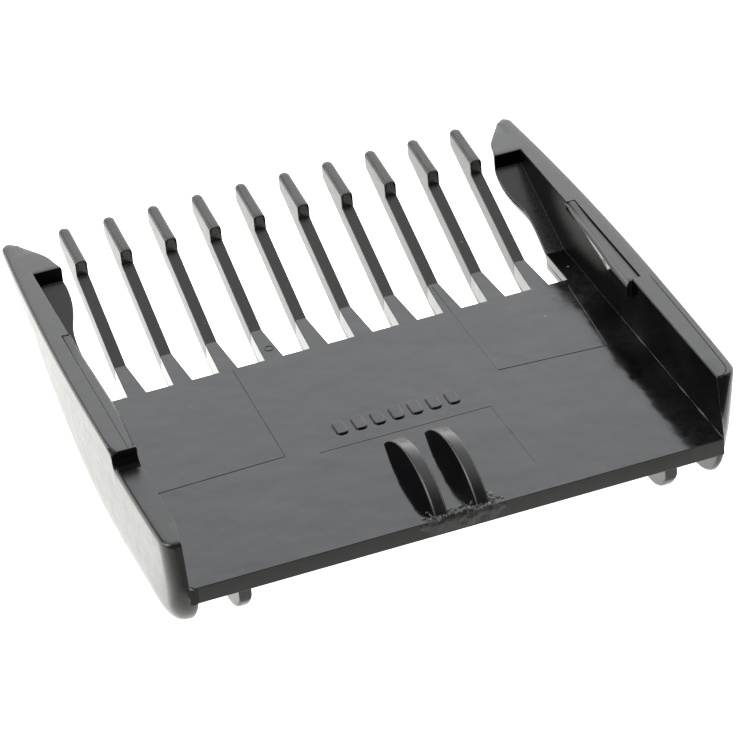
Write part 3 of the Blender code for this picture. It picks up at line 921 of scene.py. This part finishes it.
# Plain rounded pads in a row, where the real plate has a raised marking
PAD_COUNT, PAD_PITCH = 7, 1.62
PAD_X, PAD_Y = 0.2, 15.3                # middle of the row
PAD_HALF_X, PAD_HALF_Y, PAD_ROUND = 0.52, 0.95, 0.4
PAD_LOW, PAD_HIGH, PAD_BEVEL = -0.3, 0.15, 0.1


def pad_outline(cx, cy):
    outline = []
    reach_x, reach_y = PAD_HALF_X - PAD_ROUND, PAD_HALF_Y - PAD_ROUND
    for sx, sy, first in ((1, 1, 0), (-1, 1, 90), (-1, -1, 180), (1, -1, 270)):
        outline += arc(cx + sx * reach_x, cy + sy * reach_y, PAD_ROUND, first, first + 90, 4)
    return outline


for k in range(PAD_COUNT):
    outline = pad_outline(PAD_X + (k - PAD_COUNT // 2) * PAD_PITCH, PAD_Y)
    pad = prism(outline, PAD_LOW, PAD_HIGH, PAD_BEVEL)
    to_object(f"marking_pad_{k + 1}", pad, [POLISHED])


def ring_mark(cx, cy, radius, thick):
    """A thin ring half sunk in the plate's top."""
    work = bmesh.new()
    turns, sides = 28, 6
    rows = []
    for k in range(turns):
        a = 2 * math.pi * k / turns
        rows.append([
            work.verts.new((cx + (radius + u) * math.cos(a), cy + (radius + u) * math.sin(a), v))
            for u, v in arc(0, 0, thick, 0, 300, sides - 1)
        ])
    for row, after in zip(rows, rows[1:] + rows[:1]):
        for j in range(sides):
            n = (j + 1) % sides
            work.faces.new((row[j], row[n], after[n], after[j]))
    return work


mark = ring_mark(cx=-5.9, cy=29.0, radius=0.36, thick=0.06)
to_object("moulding_ring_mark", mark, [POLISHED])


# ---------------------------------------------------------------- floor, light and camera

FLOOR_HALF = 2.0          # metres
FLOOR_DROP = 0.02 * MM    # keeps the floor off the runners
TENT_LEVEL = 4.0
LAMP_LEVEL = 16.0


def studio_floor():
    """A white floor that lights the comb from below, most ahead of it and out to the sides."""
    work = bmesh.new()
    corners = ((-1, -1), (1, -1), (1, 1), (-1, 1))
    work.faces.new([work.verts.new((x * FLOOR_HALF, y * FLOOR_HALF, 0)) for x, y in corners])
    mesh = bpy.data.meshes.new("studio_floor")
    work.to_mesh(mesh)
    work.free()
    floor = bpy.data.objects.new("studio_floor", mesh)
    bpy.context.scene.collection.objects.link(floor)
    floor.location.z = -FLOOR_DROP
    material = bpy.data.materials.new("white_floor")
    material.use_nodes = True
    tree = material.node_tree
    tree.nodes.clear()
    place = add(tree, "TexCoord").outputs["Object"]
    split = add(tree, "SeparateXYZ", {"Vector": place})
    # Its glow over the comb's length and width, in metres
    ahead = remap(tree, split.outputs["Y"], -0.034, -0.012, 0.5, 2.3)
    aside = remap(tree, math_node(tree, "ABSOLUTE", split.outputs["X"]), 0.028, 0.055, 0.0, 1.1)
    glow = add(tree, "Emission", {"Color": (1.0, 1.0, 0.965, 1.0)})
    # To the camera the floor is plain white
    seen = add(tree, "LightPath").outputs["Is Camera Ray"]
    level = math_node(tree, "MAXIMUM", math_node(tree, "ADD", ahead, aside), seen)
    tree.links.new(level, glow.inputs["Strength"])
    paper = add(tree, "BsdfDiffuse", {"Color": (0.12, 0.12, 0.118, 1.0)})
    both = add(tree, "AddShader", {0: glow.outputs[0], 1: paper.outputs[0]})
    # From below it can be seen through
    under = add(tree, "NewGeometry").outputs["Backfacing"]
    clear = add(tree, "BsdfTransparent")
    shown = add(tree, "MixShader", {0: under, 1: both.outputs[0], 2: clear.outputs[0]})
    out = add(tree, "OutputMaterial")
    tree.links.new(shown.outputs[0], out.inputs["Surface"])
    mesh.materials.append(material)


def studio_world():
    """A white tent: brightest low down ahead, dimmer overhead and behind, dark at the horizon."""
    world = bpy.data.worlds.new("white_tent")
    bpy.context.scene.world = world
    world.use_nodes = True
    tree = world.node_tree
    tree.nodes.clear()
    way = add(tree, "TexCoord").outputs["Generated"]
    split = add(tree, "SeparateXYZ", {"Vector": way})
    ramp = add(tree, "ValToRGB", {"Fac": split.outputs["Z"]})
    # Its grey by height: 0 is the horizon and 1 is straight overhead
    stops = [
        (0.0, (0.05, 0.05, 0.05)), (0.09, (0.06, 0.06, 0.06)), (0.14, (0.95, 0.95, 0.93)),
        (0.28, (0.92, 0.92, 0.91)), (0.38, (0.74, 0.74, 0.74)), (0.47, (0.56, 0.565, 0.58)),
        (0.58, (0.525, 0.535, 0.55)), (0.72, (0.36, 0.365, 0.37)), (1.0, (0.33, 0.33, 0.33)),
    ]
    ramp.color_ramp.elements.remove(ramp.color_ramp.elements[0])
    ramp.color_ramp.elements[0].position = stops[0][0]
    ramp.color_ramp.elements[0].color = stops[0][1] + (1.0,)
    for position, colour in stops[1:]:
        ramp.color_ramp.elements.new(position).color = colour + (1.0,)
    ahead = remap(tree, split.outputs["Y"], -0.35, 0.12, 0.10, 1.0)

    # A dark flag ahead on the left. The right wall's inner face mirrors it, and turns black
    bearing = math_node(tree, "ARCTAN2", split.outputs["X"], split.outputs["Y"])
    right_edge = remap(tree, bearing, -0.05, 0.10, 1.0, 0.0)
    left_edge = remap(tree, bearing, -0.85, -0.65, 0.0, 1.0)
    flag = math_node(tree, "MULTIPLY", right_edge, left_edge)
    low_edge = remap(tree, split.outputs["Z"], 0.36, 0.44, 0.0, 1.0)
    flag = math_node(tree, "MULTIPLY", flag, low_edge)
    top_edge = remap(tree, split.outputs["Z"], 0.70, 0.82, 1.0, 0.0)
    flag = math_node(tree, "MULTIPLY", flag, top_edge)
    unflagged = math_node(tree, "SUBTRACT", 1.0, math_node(tree, "MULTIPLY", flag, 0.9))
    level = math_node(tree, "MULTIPLY", ahead, unflagged)

    # A soft lamp high on the left
    lamp_way = Vector((-0.64, 0.0, 0.77)).normalized()
    towards = add(tree, "VectorMath", {0: way, 1: lamp_way}, operation="DOT_PRODUCT")
    lamp = remap(tree, towards.outputs["Value"], 0.94, 0.97, 0.0, LAMP_LEVEL)
    level = math_node(tree, "ADD", math_node(tree, "MULTIPLY", level, TENT_LEVEL), lamp)
    tent = add(tree, "Background", {"Color": ramp.outputs["Color"], "Strength": level})
    seen = add(tree, "Background", {"Color": (1.0, 1.0, 1.0, 1.0), "Strength": 1.0})
    camera_ray = add(tree, "LightPath").outputs["Is Camera Ray"]
    mixed = add(tree, "MixShader", {0: camera_ray, 1: tent.outputs[0], 2: seen.outputs[0]})
    out = add(tree, "OutputWorld")
    tree.links.new(mixed.outputs[0], out.inputs["Surface"])


def photo_camera():
    """The camera solved from the comb's straight edges, in datum millimetres."""
    place = DATUM + Vector((-80.02, -223.22, 170.58)) * MM
    target = DATUM + Vector((0.475, 22.439, 0.0)) * MM
    roll = math.radians(-4.88)
    data = bpy.data.cameras.new("photo_camera")
    data.sensor_width, data.lens = 36.0, 183.75
    data.clip_start, data.clip_end = 0.01, 10.0
    camera = bpy.data.objects.new("photo_camera", data)
    bpy.context.scene.collection.objects.link(camera)
    turn = (target - place).to_track_quat("-Z", "Y").to_matrix().to_4x4()
    camera.matrix_world = Matrix.Translation(place) @ turn @ Matrix.Rotation(roll, 4, "Z")
    bpy.context.scene.camera = camera


studio_floor()
studio_world()
photo_camera()
bpy.context.scene.view_settings.view_transform = "Standard"

bpy.context.view_layer.update()
